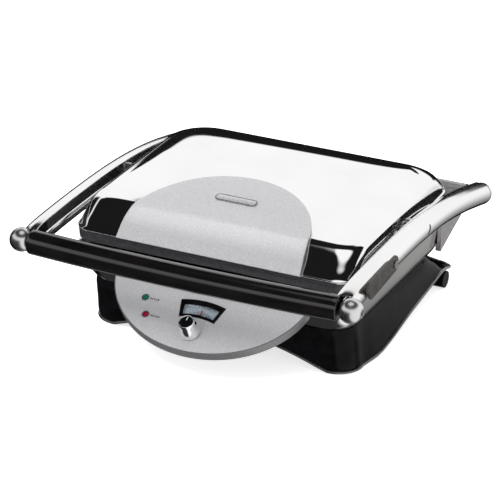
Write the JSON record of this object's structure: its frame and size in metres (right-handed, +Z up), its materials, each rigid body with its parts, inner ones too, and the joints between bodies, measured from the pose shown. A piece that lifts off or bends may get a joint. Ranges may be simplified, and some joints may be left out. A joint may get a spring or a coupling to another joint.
{
  "type": "panini press",
  "caption": "Contact grill: a chrome base on a black skirt with a sloping half-moon control panel, and a domed ribbed-plate lid that hangs between two arched arms with a round handle.",
  "frame": {"origin": "centre of the closed press's footprint, on the worktop", "axes": "+X to the user's right, +Y to the back (hinge side), +Z up"},
  "size_m": [0.416, 0.4306, 0.1673],
  "materials": {
    "chrome": "polished",
    "silver_paint": "satin",
    "grey_housing": "satin",
    "black_gloss": "gloss",
    "black_coat": "matte non-stick coat",
    "dark_plastic": "matte",
    "steel": "plain",
    "grip": "gloss",
    "rubber": "matte",
    "lens_clear": "clear",
    "lens_green": "clear",
    "lens_red": "clear",
    "scale": "matte",
    "pointer": "matte"
  },
  "bodies": {
    "base": {"base_bowl": "chrome", "base_skirt": "black_gloss", "bottom_cover": "dark_plastic", "front_feet": "rubber", "rear_feet": "black_gloss", "panel_housing": "grey_housing", "control_panel": "silver_paint", "window_frame": "black_gloss", "window_lens": "lens_clear", "ready_lens": "lens_green", "power_lens": "lens_red", "lamp_holder": "dark_plastic", "thermostat": "steel", "lower_grill_plate": "black_coat", "lower_element": "steel", "lower_reflector": "steel", "lower_plate_screws": "steel", "hinge_bracket_left": "chrome", "hinge_bracket_right": "chrome", "cord_gland": "rubber", "terminal_block": "dark_plastic", "base_screws": "steel", "dial_scale": "scale"},
    "arms": {"arm_left": "chrome", "arm_right": "chrome", "arm_liner_left": "dark_plastic", "arm_liner_right": "dark_plastic", "cross_shaft": "steel", "shaft_nuts": "steel", "handle_grip": "grip", "handle_rod": "steel", "handle_balls": "chrome", "handle_screws": "steel", "arm_cap_left": "chrome", "arm_cap_right": "chrome", "cap_gaskets": "rubber", "pivot_boss_left": "steel", "pivot_boss_right": "steel", "latch_stud": "steel"},
    "lid": {"lid_cover": "chrome", "lid_trim": "dark_plastic", "lid_fascia": "silver_paint", "lid_badge": "silver_paint", "upper_grill_plate": "black_coat", "upper_element": "steel", "upper_reflector": "steel", "upper_plate_screws": "steel", "lid_pivot_left": "steel", "lid_pivot_right": "steel", "thermal_fuse": "steel"},
    "knob": {"thermostat_knob": "chrome", "knob_grip": "dark_plastic", "dial_pointer": "pointer"},
    "latch": {"lock_latch": "grey_housing"}
  },
  "joints": [
    {"name": "arm_lift", "type": "hinge", "parent": "base", "child": "arms", "pos_m": [0, 0.182, 0.1015], "axis": [-1, 0, 0], "range_deg": [0, 100]},
    {"name": "lid_tilt", "type": "hinge", "parent": "arms", "child": "lid", "pos_m": [0, 0.01, 0.133], "axis": [1, 0, 0], "range_deg": [-1.5, 1.5]},
    {"name": "knob_turn", "type": "hinge", "parent": "base", "child": "knob", "pos_m": [0, -0.17715, 0.0523], "axis": [0, -0.5, 0.866], "range_deg": [-32, 32]},
    {"name": "latch_swing", "type": "hinge", "parent": "arms", "child": "latch", "pos_m": [0.2005, -0.096, 0.1405], "axis": [1, 0, 0], "range_deg": [0, 60]}
  ]
}
